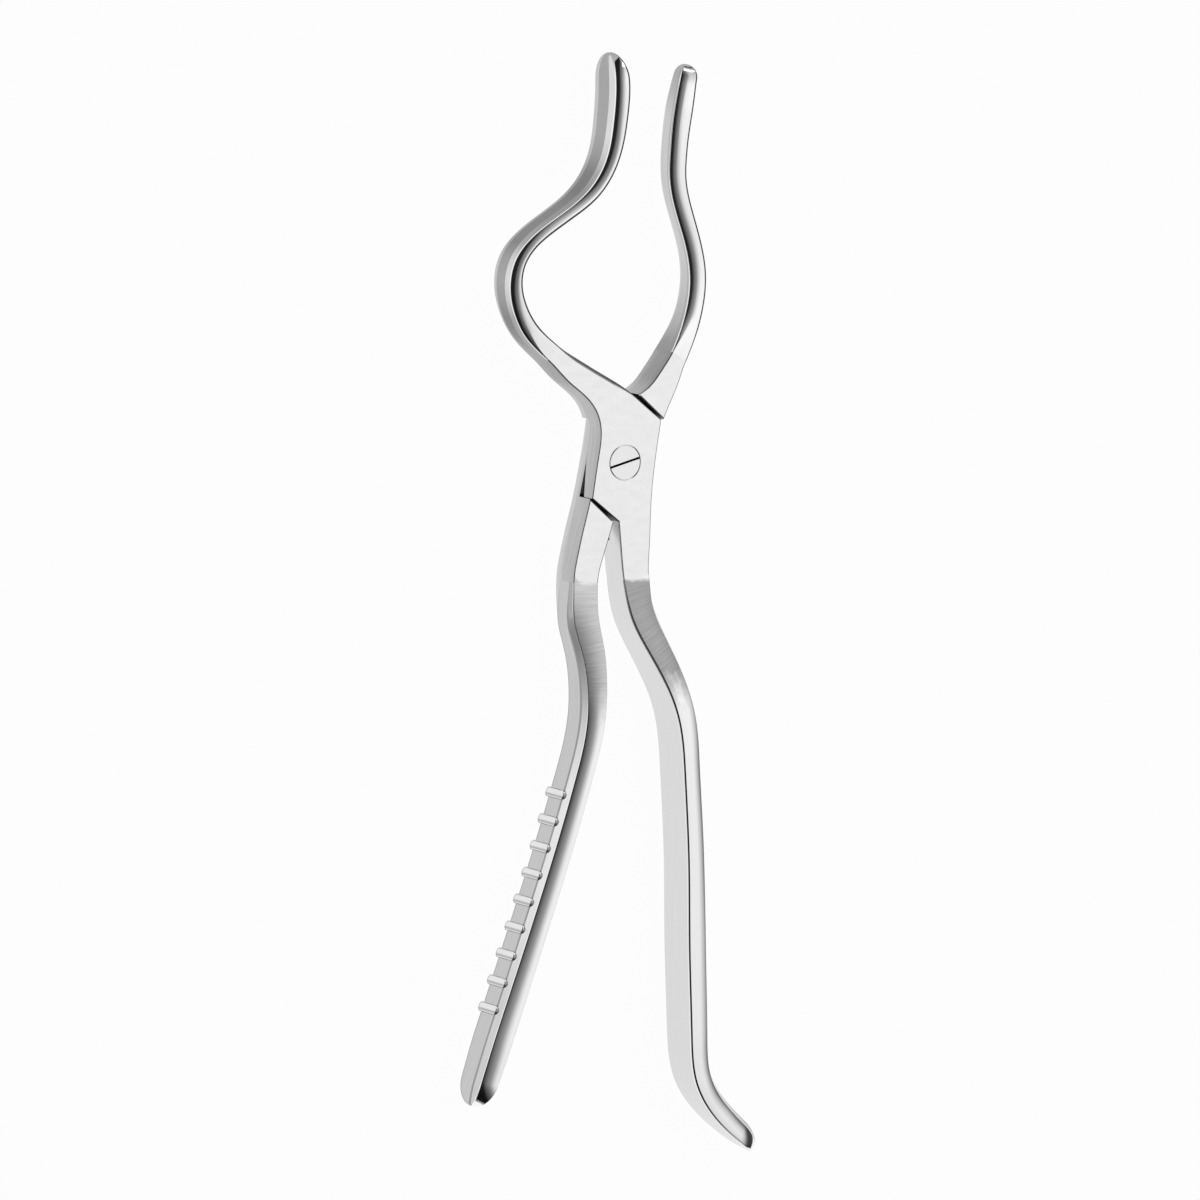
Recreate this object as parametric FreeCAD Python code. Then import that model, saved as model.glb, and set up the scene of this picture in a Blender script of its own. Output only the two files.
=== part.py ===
import FreeCAD, Part
import math
import os
from collections import namedtuple

# Surgical forceps with a lap joint, lying flat: one broad bowed blade and one slim curved blade.
# X runs across the instrument, Y towards the blade tips and Z up out of the screw head.
# The origin is on the pivot axis, in the flat rear face of the joint. The pieces are shaped about
# the joint's middle plane and moved up by half its depth at the end.
# Sizes are in millimetres and angles in degrees.

Vector = FreeCAD.Vector
UP = Vector(0, 0, 1)

# Joint: two plates lapped in a block that is ground flat in front and behind
joint_depth = 7.2
lap_height = -0.8
lap_clearance = 0.03
half_joint = joint_depth / 2

# Shoulders: distance from the pivot to each stop face, the direction that it faces, and the gap
# that each leaves when the instrument is closed by the rest opening
front_upper_shoulder = 12.4
rear_upper_shoulder = 10.7
lower_shoulder = 10.8
shoulder_angle = 47.7
front_upper_gap = 0.4
rear_upper_gap = 0.35
lower_gap = 0.4
rest_opening = 3.0
edge_break = 0.3

# Pivot screw
screw_head_diameter = 7.2
screw_head_height = 1.7
screw_edge_break = 0.12
screw_shank_diameter = 4.6
screw_running_clearance = 0.04
screw_fixed_clearance = 0.01
slot_width = 0.5
slot_depth = 0.8
slot_angle = 13.5

# Shoulders' corners, measured along each shoulder from the line through the pivot
front_upper_span = (-1.45, 3.5, 8.6)
front_lower_span = (-1.7, 6.5)
rear_upper_span = (-2.4, -8.9)
rear_lower_span = (-1.1, -7.7)

# Relief of the front plate's lap edge, beside the lower shoulder
relief_size = 1.1
relief_start = 0.6

# Reach of the arms along Y from the pivot, and where they leave the joint
blade_root = 22.2
bowed_blade_reach = 84.4
slim_blade_reach = 81.6
handle_root = -24.5
front_handle_reach = -148.3
rear_handle_reach = -132.4

# Edges of the joint in plan, between its corners: x, and y as a share of the blades' root or,
# below the pivot, of the handles' root with a minus sign
front_outer_edge = [(-13.4, 0.783), (-9.0, 0.617), (-6.95, 0.495), (-6.0, 0.369), (-6.55, 0.05)]
front_neck_edge = [(-0.95, -0.776)]
front_right_edge = [(5.95, -0.735), (6.4, -0.335), (7.35, 0.005)]
front_bow_edge = [(-2.5, 0.766), (-6.6, 0.873), (-10.65, 0.982)]
rear_inner_edge = [(8.4, 0.829), (5.5, 0.689), (3.2, 0.628)]
rear_left_edge = [(-6.0, 0.18), (-6.9, -0.02), (-8.55, -0.314), (-10.1, -0.543), (-11.55, -0.776)]
rear_neck_edge = [(-5.2, -0.796), (-3.3, -0.571), (-2.75, -0.498)]
rear_right_edge = [(7.0, 0.005), (9.3, 0.378), (11.15, 0.55), (13.05, 0.732)]

# Each arm from its root to its tip: x of its edge line, share of its length along Y, thickness
# and half depth. The edge is the outer one on the bowed blade and the inner one on the others.
Station = namedtuple("Station", "x share thickness half_depth")

bowed_blade = [
    Station(-18.3, 0.0, 3.85, 3.6),
    Station(-23.0, 0.074, 3.55, 3.9),
    Station(-26.0, 0.162, 3.1, 4.0),
    Station(-27.1, 0.252, 2.7, 4.15),
    Station(-25.8, 0.342, 2.4, 4.3),
    Station(-21.7, 0.415, 2.1, 4.45),
    Station(-14.7, 0.486, 2.05, 4.6),
    Station(-8.1, 0.566, 2.45, 4.7),
    Station(-4.55, 0.662, 2.75, 4.8),
    Station(-3.2, 0.768, 3.05, 4.95),
    Station(-2.65, 0.881, 3.2, 5.05),
    Station(-2.9, 1.0, 2.7, 4.7),
]

slim_blade = [
    Station(11.2, 0.0, 4.05, 3.6),
    Station(13.8, 0.076, 3.75, 3.3),
    Station(15.7, 0.165, 3.6, 3.0),
    Station(16.3, 0.259, 3.6, 2.8),
    Station(15.3, 0.367, 3.5, 2.65),
    Station(13.0, 0.488, 3.6, 2.6),
    Station(11.6, 0.594, 3.7, 2.65),
    Station(11.7, 0.704, 3.8, 2.75),
    Station(12.65, 0.838, 4.1, 2.75),
    Station(15.2, 1.0, 3.45, 2.2),
]

front_handle = [
    Station(-0.35, -0.0, 6.2, 3.6),
    Station(1.35, 0.065, 5.65, 4.2),
    Station(4.7, 0.119, 5.15, 4.7),
    Station(8.6, 0.174, 4.75, 5.05),
    Station(11.8, 0.238, 4.45, 5.2),
    Station(13.3, 0.335, 4.15, 5.25),
    Station(14.2, 0.481, 4.25, 5.25),
    Station(14.4, 0.626, 4.5, 5.25),
    Station(14.95, 0.771, 4.35, 5.2),
    Station(16.45, 0.863, 4.1, 4.9),
    Station(22.1, 0.932, 4.0, 4.0),
    Station(32.5, 1.0, 3.2, 2.4),
]

rear_handle = [
    Station(-6.4, -0.0, 5.95, 3.6),
    Station(-6.5, 0.06, 5.6, 4.1),
    Station(-5.25, 0.13, 4.9, 4.5),
    Station(-4.8, 0.199, 4.3, 4.75),
    Station(-5.4, 0.269, 3.9, 4.95),
    Station(-8.0, 0.361, 3.6, 5.1),
    Station(-13.8, 0.522, 3.65, 5.25),
    Station(-20.6, 0.695, 3.75, 5.3),
    Station(-27.5, 0.867, 3.95, 5.3),
    Station(-33.0, 1.0, 3.45, 4.9),
]

# Cross-sections: break of the near edge, drop and break of the far ridge, crown of the band
# between them, and the facets of the two flanks
Profile = namedtuple("Profile", "near_break ridge_drop ridge_break crown near_rise far_rise facet_share")
blade_profile = Profile(0.45, 0.55, 0.25, 0.2, 0.3, 0.3, 0.45)
slim_profile = Profile(0.75, 0.45, 0.25, 0.2, 0.1, 0.35, 0.45)
handle_profile = Profile(0.45, 0.5, 0.2, 0.22, 0.02, 0.95, 0.52)
root_profile = Profile(edge_break, 0.0, edge_break, 0.01, 0.01, 0.01, 0.5)
profile_blend = 9.0

# Grip bars across the outer flank of the rear handle, a little below its middle plane
bar_count = 9
bar_first_share = 0.418
bar_last_share = 0.824
bar_width = 2.1
bar_height = 0.35
bar_half_length = 3.75
bar_shift = -0.35
bar_edge_break = 0.25
bar_root = 1.2

sections_per_arm = 22
tip_sections = 7
tip_end_share = 0.16
direction_step = 0.01


def blend(a, b, share):
    return a + (b - a) * share


def smooth_share(share):
    share = max(0.0, min(1.0, share))
    return share * share * (3 - 2 * share)


def monotone_value(xs, ys, x):
    """Value at x of a smooth curve through the points that makes no overshoot."""
    slopes = [(ys[i + 1] - ys[i]) / (xs[i + 1] - xs[i]) for i in range(len(xs) - 1)]
    tangents = [slopes[0]]
    for before, after in zip(slopes, slopes[1:]):
        flat = before * after <= 0
        tangents.append(0.0 if flat else 2 * before * after / (before + after))
    tangents.append(slopes[-1])
    i = max(k for k in range(len(xs) - 1) if xs[k] <= x or k == 0)
    step = xs[i + 1] - xs[i]
    t = (x - xs[i]) / step
    return (
        (2 * t**3 - 3 * t**2 + 1) * ys[i]
        + (t**3 - 2 * t**2 + t) * step * tangents[i]
        + (3 * t**2 - 2 * t**3) * ys[i + 1]
        + (t**3 - t**2) * step * tangents[i + 1]
    )


def crowned(a, control, b):
    """Low arch from a to b that leans towards the control point."""
    curve = Part.BezierCurve()
    curve.setPoles([a, control, b])
    return curve.toShape()


def section_wire(origin, across, thickness, half_depth, profile):
    """Closed section of an arm: a near flank, two crowned bands and a far flank of three facets."""
    near = min(profile.near_break, 0.3 * thickness, 0.3 * half_depth)
    far = min(profile.ridge_break, 0.2 * thickness, 0.2 * half_depth)
    ridge = half_depth - min(profile.ridge_drop, 0.3 * half_depth)
    facet = profile.facet_share * half_depth

    def point(out, height):
        return origin + across * out + UP * height

    upper = [
        point(-profile.near_rise, facet),
        point(0, half_depth - near),
        point(near, half_depth),
        point(thickness - far, ridge),
        point(thickness, ridge - far),
        point(thickness + profile.far_rise, facet),
    ]
    lower = [Vector(p.x, p.y, -p.z) for p in upper]
    crown_top = (upper[2] + upper[3]) * 0.5 + UP * (2 * profile.crown)
    crown_low = Vector(crown_top.x, crown_top.y, -crown_top.z)
    edges = [
        Part.makeLine(upper[0], upper[1]),
        Part.makeLine(upper[1], upper[2]),
        crowned(upper[2], crown_top, upper[3]),
        Part.makeLine(upper[3], upper[4]),
        Part.makeLine(upper[4], upper[5]),
        Part.makeLine(upper[5], lower[5]),
        Part.makeLine(lower[5], lower[4]),
        Part.makeLine(lower[4], lower[3]),
        crowned(lower[3], crown_low, lower[2]),
        Part.makeLine(lower[2], lower[1]),
        Part.makeLine(lower[1], lower[0]),
        Part.makeLine(lower[0], upper[0]),
    ]
    return Part.Wire(edges)


class Arm:
    """One arm along its edge line. side is 1 when the arm lies on the right of that line."""

    def __init__(self, stations, root, reach, profile, side):
        self.stations = stations
        self.profile = profile
        self.side = side
        points = [Vector(s.x, blend(root, reach, s.share), 0) for s in stations]
        self.lengths = [0.0]
        for a, b in zip(points, points[1:]):
            self.lengths.append(self.lengths[-1] + (b - a).Length)
        self.curve = Part.BSplineCurve()
        self.curve.interpolate(Points=points, Parameters=self.lengths)

    def across(self, place):
        along = self.curve.tangent(place)[0]
        out = Vector(along.y, -along.x, 0) * self.side
        return out.normalize()

    def thickness(self, place):
        return monotone_value(self.lengths, [s.thickness for s in self.stations], place)

    def half_depth(self, place):
        return monotone_value(self.lengths, [s.half_depth for s in self.stations], place)

    def near_point(self, place):
        return self.curve.value(place)

    def far_point(self, place):
        return self.curve.value(place) + self.across(place) * self.thickness(place)

    def place_at_y(self, y):
        low, high = self.lengths[0], self.lengths[-1]
        for _ in range(40):
            middle = (low + high) / 2
            if (self.curve.value(middle).y - y) * (self.curve.value(high).y - y) > 0:
                high = middle
            else:
                low = middle
        return low

    def solid(self):
        total = self.lengths[-1]
        tip_length = self.stations[-1].half_depth * 1.1
        body_end = total - tip_length
        places = [body_end * i / (sections_per_arm - 1) for i in range(sections_per_arm)]
        last_angle = math.acos(tip_end_share)
        for i in range(1, tip_sections + 1):
            places.append(body_end + tip_length * math.sin(last_angle * i / tip_sections))
        wires = [self.section(place, max(0.0, (place - body_end) / tip_length)) for place in places]
        return Part.makeLoft(wires, True, False)

    def section(self, place, into_tip):
        round_off = math.sqrt(1 - into_tip * into_tip)
        thickness = self.thickness(place)
        slimmed = thickness * blend(0.35, 1.0, round_off)
        share = smooth_share(place / profile_blend)
        mixed = [blend(a, b, share) for a, b in zip(root_profile, self.profile)]
        rounded = Profile(*[value * round_off for value in mixed[:-1]], mixed[-1])
        start = self.curve.value(place) + self.across(place) * ((thickness - slimmed) / 2)
        return section_wire(start, self.across(place), slimmed, self.half_depth(place) * round_off, rounded)


def direction(angle):
    return Vector(math.cos(math.radians(angle)), math.sin(math.radians(angle)), 0)


def shoulder_point(angle, distance, along):
    """Point on a line that faces an angle at a distance from the pivot, moved along the line."""
    return direction(angle) * distance + direction(angle + 90) * along


def joint_place(x, share):
    """Point of the joint's edge, with y as a share of the way to the blades' or the handles' root."""
    return Vector(x, share * (blade_root if share > 0 else -handle_root), 0)


def edge_places(edge):
    return [joint_place(*place) for place in edge]


def line_run(*points):
    return [Part.makeLine(a, b) for a, b in zip(points, points[1:])]


def smooth_run(places, start_arm=None, end_arm=None):
    """Smooth edge through plan points. An end that is an arm's edge keeps on in the arm's direction."""
    tangents = [Vector(1, 0, 0)] * len(places)
    flags = [False] * len(places)
    for index, arm_edge in ((0, start_arm), (len(places) - 1, end_arm)):
        if arm_edge:
            away = (arm_edge(0.0) - arm_edge(direction_step)) * (1 / direction_step)
            tangents[index] = away if index == 0 else away * -1
            flags[index] = True
    curve = Part.BSplineCurve()
    curve.interpolate(Points=places, Tangents=tangents, TangentFlags=flags)
    return [curve.toShape()]


def block(runs, low, high):
    """Upright block over a closed outline in plan."""
    outline = Part.Wire(Part.sortEdges([edge for run in runs for edge in run])[0])
    outline.translate(UP * low)
    return Part.Face(outline).extrude(UP * (high - low))


def lap_slot(angle, upper, lower, floor, top):
    """Slot milled straight across between two parallel shoulders, with broken edges at its top."""
    reach = upper + lower

    def ends(extra, height):
        a = shoulder_point(angle, upper + extra, -reach)
        b = shoulder_point(angle, upper + extra, reach)
        c = shoulder_point(angle + 180, lower + extra, -reach)
        d = shoulder_point(angle + 180, lower + extra, reach)
        corners = [p + UP * height for p in (a, b, c, d)]
        return Part.makePolygon(corners + corners[:1])

    toward = 1 if top > floor else -1
    start = top - toward * edge_break
    slab = Part.Face(ends(0, floor)).extrude(UP * (start - floor))
    lead = Part.makeLoft([ends(0, start), ends(2 * edge_break, top + toward * edge_break)], True, True)
    return slab.fuse(lead)


def at_any(place, plan_points):
    return any(math.hypot(place.x - p.x, place.y - p.y) < 0.01 for p in plan_points)


def joint_body(runs, open_edges):
    """Block of the joint with broken edges, but for the edges where its arms start."""
    body = block(runs, -half_joint, half_joint)
    flat = [edge for edge in body.Edges if abs(abs(edge.CenterOfMass.z) - half_joint) < 0.001]
    kept = [edge for edge in flat if not at_any(edge.CenterOfMass, open_edges)]
    return body.makeChamfer(edge_break, kept)


def front_corners():
    """Corners of the front half's shoulders: right, middle and crotch above, left and crotch below."""
    upper = shoulder_angle + rest_opening
    above = [shoulder_point(upper, front_upper_shoulder - front_upper_gap, v) for v in front_upper_span]
    below = [shoulder_point(upper + 180, lower_shoulder - lower_gap, v) for v in front_lower_span]
    return above, below


def front_body(blade, handle):
    above, (left_corner, lower_crotch) = front_corners()
    blade_start = (blade.near_point(0), blade.far_point(0))
    handle_start = (handle.near_point(0), handle.far_point(0))
    outer = [blade_start[0], *edge_places(front_outer_edge), left_corner]
    neck = [lower_crotch, *edge_places(front_neck_edge), handle_start[0]]
    right = [handle_start[1], *edge_places(front_right_edge), above[0]]
    bow = [*above, *edge_places(front_bow_edge), blade_start[1]]
    runs = [
        smooth_run(outer, blade.near_point),
        line_run(left_corner, lower_crotch),
        smooth_run(neck, None, handle.near_point),
        line_run(*handle_start),
        smooth_run(right, handle.far_point),
        smooth_run(bow, None, blade.far_point),
        line_run(*blade_start),
    ]
    return joint_body(runs, [middle_of(blade_start), middle_of(handle_start)])


def lap_relief(lap_face):
    """Wedge that takes the lap edge off the front plate, deepest at the lower shoulder's corner."""
    start = joint_place(*front_outer_edge[-1])
    start.y = relief_start
    end = front_corners()[1][0]
    past = start + (end - start) * 1.2
    size = 1.2 * relief_size
    across = Vector(1, 0, 0)
    triangle = [
        past - (across + UP) * size,
        past + across * (2 * size) - UP * size,
        past - across * size + UP * (2 * size),
    ]
    wedge = Part.makeLoft([Part.makePolygon(triangle + triangle[:1]), Part.Vertex(start)], True, True)
    return wedge.translated(UP * lap_face)


def rear_body(blade, handle):
    upper = 180 - shoulder_angle
    upper_reach = rear_upper_shoulder - rear_upper_gap
    lower_reach = lower_shoulder - lower_gap
    left_corner, crotch = [shoulder_point(upper, upper_reach, v) for v in rear_upper_span]
    right_corner, lower_crotch = [shoulder_point(upper + 180, lower_reach, v) for v in rear_lower_span]
    blade_start = (blade.near_point(0), blade.far_point(0))
    handle_start = (handle.near_point(0), handle.far_point(0))
    inner = [blade_start[0], *edge_places(rear_inner_edge)]
    left = [left_corner, *edge_places(rear_left_edge), handle_start[1]]
    neck = [handle_start[0], *edge_places(rear_neck_edge)]
    right = [right_corner, *edge_places(rear_right_edge), blade_start[1]]
    runs = [
        smooth_run(inner, blade.near_point),
        line_run(inner[-1], crotch, left_corner),
        smooth_run(left, None, handle.far_point),
        line_run(*handle_start),
        smooth_run(neck, handle.near_point),
        line_run(neck[-1], lower_crotch, right_corner),
        smooth_run(right, None, blade.far_point),
        line_run(*blade_start),
    ]
    return joint_body(runs, [middle_of(blade_start), middle_of(handle_start)])


def middle_of(pair):
    """Middle of an arm's first section, on the front and on the rear face."""
    return (pair[0] + pair[1]) * 0.5


def disc(diameter, low, high):
    return Part.makeCylinder(diameter / 2, high - low, Vector(0, 0, low))


def grip_bar(handle, share):
    """Rounded bar across the flank, standing on its middle facet."""
    place = handle.place_at_y(blend(handle_root, rear_handle_reach, share))
    out = handle.across(place)
    along = Vector(-out.y, out.x, 0)
    flank = handle.curve.value(place) + out * (handle.thickness(place) + handle.profile.far_rise)
    foot = flank - out * bar_root + UP * bar_shift
    half = bar_width / 2
    straight = bar_half_length - half
    corners = [foot + along * a + UP * z for a, z in ((half, -straight), (half, straight))]
    corners += [foot + along * a + UP * z for a, z in ((-half, straight), (-half, -straight))]
    top = foot + UP * bar_half_length
    bottom = foot - UP * bar_half_length
    outline = Part.Wire([
        Part.makeLine(corners[0], corners[1]),
        Part.Arc(corners[1], top, corners[2]).toShape(),
        Part.makeLine(corners[2], corners[3]),
        Part.Arc(corners[3], bottom, corners[0]).toShape(),
    ])
    bar = Part.Face(outline).extrude(out * (bar_root + bar_height))
    outer_face = max(bar.Faces, key=lambda face: face.CenterOfMass.dot(out))
    return bar.makeChamfer(bar_edge_break, outer_face.Edges)


def make_front_half():
    blade = Arm(bowed_blade, blade_root, bowed_blade_reach, blade_profile, 1)
    handle = Arm(front_handle, handle_root, front_handle_reach, handle_profile, -1)
    half = front_body(blade, handle).fuse([blade.solid(), handle.solid()])
    lap_face = lap_height + lap_clearance
    slot_turn = 180 - shoulder_angle + rest_opening
    slot = lap_slot(slot_turn, rear_upper_shoulder, lower_shoulder, lap_face, -half_joint)
    seat = half_joint - screw_head_height - lap_clearance
    play = 2 * screw_running_clearance
    shank_hole = disc(screw_shank_diameter + play, -joint_depth, joint_depth)
    head_seat = disc(screw_head_diameter + play, seat, joint_depth)
    rim = (screw_head_diameter + play) / 2
    seat_break = Part.makeCone(
        rim, rim + 2 * screw_edge_break, 2 * screw_edge_break, UP * (half_joint - screw_edge_break))
    return half.cut([slot, shank_hole, head_seat, seat_break, lap_relief(lap_face)])


def make_rear_half():
    blade = Arm(slim_blade, blade_root, slim_blade_reach, slim_profile, 1)
    handle = Arm(rear_handle, handle_root, rear_handle_reach, handle_profile, 1)
    half = rear_body(blade, handle).fuse([blade.solid(), handle.solid()])
    shares = [blend(bar_first_share, bar_last_share, i / (bar_count - 1)) for i in range(bar_count)]
    half = half.fuse([grip_bar(handle, share) for share in shares])
    slot = lap_slot(shoulder_angle, front_upper_shoulder, lower_shoulder, lap_height, half_joint)
    hole = disc(screw_shank_diameter + 2 * screw_fixed_clearance, -joint_depth, joint_depth)
    return half.cut([slot, hole])


def make_pivot_screw():
    head_seat = half_joint - screw_head_height
    head = disc(screw_head_diameter, head_seat, half_joint)
    top_edge = max(head.Edges, key=lambda edge: edge.BoundBox.ZMin)
    head = head.makeChamfer(screw_edge_break, [top_edge])
    shank = disc(screw_shank_diameter, -half_joint, head_seat)
    slot = Part.makeBox(2 * screw_head_diameter, slot_width, joint_depth)
    slot.translate(Vector(-screw_head_diameter, -slot_width / 2, half_joint - slot_depth))
    slot.rotate(Vector(0, 0, 0), UP, slot_angle)
    return head.fuse(shank).cut(slot)


parts = {
    "front_half": make_front_half(),
    "rear_half": make_rear_half(),
    "pivot_screw": make_pivot_screw(),
}

os.makedirs("parts", exist_ok=True)
for name, shape in parts.items():
    solid = shape.removeSplitter().Solids[0]
    solid.translate(UP * half_joint)
    solid.exportStep(os.path.join("parts", name + ".step"))
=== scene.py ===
import math
from collections import namedtuple

import bpy
import numpy as np
from mathutils import Matrix, Vector
from mathutils.geometry import tessellate_polygon


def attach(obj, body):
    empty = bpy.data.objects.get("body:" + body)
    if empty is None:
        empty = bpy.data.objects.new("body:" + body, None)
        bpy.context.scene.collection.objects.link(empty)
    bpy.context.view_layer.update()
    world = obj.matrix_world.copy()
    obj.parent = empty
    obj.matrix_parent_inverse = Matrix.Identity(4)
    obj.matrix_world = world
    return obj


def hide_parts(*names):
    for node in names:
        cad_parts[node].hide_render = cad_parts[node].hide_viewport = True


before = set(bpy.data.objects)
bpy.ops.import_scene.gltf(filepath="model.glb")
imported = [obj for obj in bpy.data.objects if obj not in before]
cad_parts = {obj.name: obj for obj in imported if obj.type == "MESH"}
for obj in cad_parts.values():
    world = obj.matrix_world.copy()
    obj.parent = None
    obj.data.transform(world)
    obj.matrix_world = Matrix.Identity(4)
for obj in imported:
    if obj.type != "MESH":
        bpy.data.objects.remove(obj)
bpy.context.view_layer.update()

# Surgical forceps with a lap joint: two forged halves dressed as meshes, and the slotted screw between them.
# Lengths are in millimetres about the middle plane of the joint, as the solids are drawn.
MM = 0.001
UV_LENGTH = 100.0
HALF_JOINT = 3.6
LAP_HEIGHT, LAP_CLEARANCE = -0.8, 0.03
SAME_PLACE = 0.02
SLOPE_STEP = 0.01

# Broken edges, and the finer steps of the meshes
EDGE_BREAK, EDGE_STEPS = 0.3, 4
CORNER_STEPS, ARCH_STEPS = 7, 10
SECTION_STEP = 0.8
ROOT_BLEND = 9.0
TOP_TRIM = 0.05

# Rounded tip of an arm: length as a share of the half depth, steps, reach as a share of the length, and
# width left at the end of its turn
TIP_LENGTH = 1.1
TIP_STEPS, TIP_REACH, TIP_END = 16, 0.985, 0.04
TIP_TURN = math.acos(TIP_END)
TIP_SLIMMEST = 0.1

BLADE_ROOT, HANDLE_ROOT = 22.2, -24.5
BOWED_REACH, SLIM_REACH = 84.4, 81.6
FRONT_HANDLE_REACH, REAR_HANDLE_REACH = -148.0, -132.4

# Each arm: x of its edge line, share of its length along Y, thickness and half depth
BOWED_BLADE = [
    (-18.3, 0.0, 3.85, 3.6), (-23.0, 0.074, 3.55, 3.9), (-26.0, 0.162, 3.1, 4.0), (-27.1, 0.252, 2.7, 4.15),
    (-25.8, 0.342, 2.4, 4.3), (-21.7, 0.415, 2.1, 4.45), (-14.7, 0.486, 2.05, 4.6),
    (-8.1, 0.566, 2.45, 4.7), (-4.55, 0.662, 2.75, 4.8), (-3.2, 0.768, 3.05, 4.95),
    (-2.65, 0.881, 3.2, 5.05), (-2.9, 1.0, 2.7, 4.7),
]
SLIM_BLADE = [
    (11.2, 0.0, 4.05, 3.6), (13.8, 0.076, 3.75, 3.3), (15.7, 0.165, 3.6, 3.0), (16.3, 0.259, 3.6, 2.8),
    (15.3, 0.367, 3.5, 2.65), (13.0, 0.488, 3.6, 2.6), (11.6, 0.594, 3.7, 2.65), (11.7, 0.704, 3.8, 2.75),
    (12.65, 0.838, 4.1, 2.75), (15.2, 1.0, 3.45, 2.2),
]
FRONT_HANDLE = [
    (-0.35, 0.0, 6.2, 3.6), (1.35, 0.065, 5.65, 4.2), (4.7, 0.119, 5.15, 4.7), (8.6, 0.174, 4.75, 5.05),
    (11.8, 0.238, 4.45, 5.2), (13.3, 0.335, 4.15, 5.25), (14.2, 0.481, 4.25, 5.25),
    (14.4, 0.626, 4.5, 5.25), (14.95, 0.771, 4.35, 5.2), (16.45, 0.863, 4.1, 4.9), (22.1, 0.932, 4.0, 4.0),
    (32.5, 1.0, 3.2, 2.4),
]
REAR_HANDLE = [
    (-6.4, 0.0, 5.95, 3.6), (-6.5, 0.06, 5.6, 4.1), (-5.25, 0.13, 4.9, 4.5), (-4.8, 0.199, 4.3, 4.75),
    (-5.4, 0.269, 3.9, 4.95), (-8.0, 0.361, 3.6, 5.1), (-13.8, 0.522, 3.65, 5.25),
    (-20.6, 0.695, 3.75, 5.3), (-27.5, 0.867, 3.95, 5.3), (-33.0, 1.0, 3.45, 4.9),
]

# Section of an arm: break of the near edge, drop and rounding of the far ridge below the band (a drop below
# zero lifts the ridge over it), crown of the band, rise of the flanks' facets, crown of the near edge's break
# and height of the facets as a share of the half depth
Profile = namedtuple("Profile", (
    "near_width", "near_height", "near_round", "drop", "far_round", "crown", "near_rise", "far_rise",
    "near_crown", "facet_share"))
BLADE_PROFILE = Profile(1.25, 0.75, 0.5, -0.19, 0.5, 0.075, 0.3, 0.3, 0.05, 0.45)
SLIM_PROFILE = Profile(1.45, 0.75, 0.5, -0.19, 0.5, 0.075, 0.1, 0.35, 0.05, 0.45)
FRONT_HANDLE_PROFILE = Profile(0.4, 0.23, 0.15, 0.6, 0.25, 0.17, 0.02, 0.95, 0.001, 0.52)
REAR_HANDLE_PROFILE = Profile(0.15, 0.25, 0.1, 0.82, 0.45, 0.17, 0.02, 0.95, 0.001, 0.52)
ROOT_PROFILE = Profile(0.22, 0.22, 0.2, 0.0, EDGE_BREAK, 0.01, 0.01, 0.01, 0.001, 0.5)
NEAR_FACET_ROUND, NEAR_EDGE_ROUND, FAR_FACET_ROUND = 1.5, 0.4, 1.0

# Grip bars: places along the handle, then size, rounding of the dome and height of the upright foot
BAR_COUNT, BAR_FIRST, BAR_LAST = 9, 0.418, 0.824
BAR_WIDTH, BAR_HEIGHT, BAR_HALF_LENGTH, BAR_SHIFT = 2.1, 0.35, 3.75, -0.35
BAR_ROUND, BAR_FOOT, BAR_SUNK = 0.75, 0.45, -0.9

# Shoulders: distances from the pivot, the way they face, the gaps at rest, and their corners along them
SHOULDER_ANGLE = 47.7
REST_OPENING = 3.0
FRONT_UPPER, REAR_UPPER, LOWER = 12.4, 10.7, 10.8
FRONT_UPPER_GAP, REAR_UPPER_GAP, LOWER_GAP = 0.4, 0.35, 0.4
FRONT_UPPER_SPAN = (-1.45, 3.5, 8.6)
FRONT_LOWER_SPAN = (-1.7, 6.5)
REAR_UPPER_SPAN = (-2.4, -8.9)
REAR_LOWER_SPAN = (-1.1, -7.7)

# Edges of the joint between its corners: x, and y as a share of the way to the blades' or handles' root
FRONT_OUTER_EDGE = [(-13.4, 0.783), (-9.0, 0.617), (-6.95, 0.495), (-6.0, 0.369), (-6.55, 0.05)]
FRONT_NECK_EDGE = [(-0.95, -0.776)]
FRONT_RIGHT_EDGE = [(5.95, -0.735), (6.4, -0.335), (7.35, 0.005)]
FRONT_BOW_EDGE = [(-2.5, 0.766), (-6.6, 0.873), (-10.65, 0.982)]
REAR_INNER_EDGE = [(8.4, 0.829), (5.5, 0.689), (3.2, 0.628)]
REAR_LEFT_EDGE = [(-6.0, 0.18), (-6.9, -0.02), (-8.55, -0.314), (-10.1, -0.543), (-11.55, -0.776)]
REAR_NECK_EDGE = [(-5.2, -0.796), (-3.3, -0.571), (-2.75, -0.498)]
REAR_RIGHT_EDGE = [(7.0, 0.005), (9.3, 0.378), (11.15, 0.55), (13.05, 0.732)]

# Relief of the front plate's lap edge, and the seat and holes of the screw
RELIEF_SIZE, RELIEF_START = 1.1, 0.6
SCREW_SEAT, SCREW_EDGE, SCREW_SEAT_DEPTH = 3.64, 0.12, 1.73
FRONT_SHANK_HOLE, REAR_SHANK_HOLE = 2.34, 2.31

# The front plate's upper edge is rounded wider between the shoulder and the bowed blade
BOW_EDGE_START, BOW_EDGE_GROWTH, BOW_EDGE_FADE = 14.0, 1.6, 3.0
NECK_START = -12.0

# Materials of a half, by number. The flank facets are one steel painted at different levels as shade, and the
# crevice shade, the facet line and the inner edge are dark paint for shade and dark reflections
(BAND, FACE, WALL, CREVICE_SHADE, INNER_FLANK, MIDDLE_FACET, FACET_LINE, BLADE_BAND, BAR, UPPER_FACET, LOWER_FACET,
 BLADE_UPPER, BLADE_MIDDLE, BLADE_LOWER, INNER_EDGE) = range(15)

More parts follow.
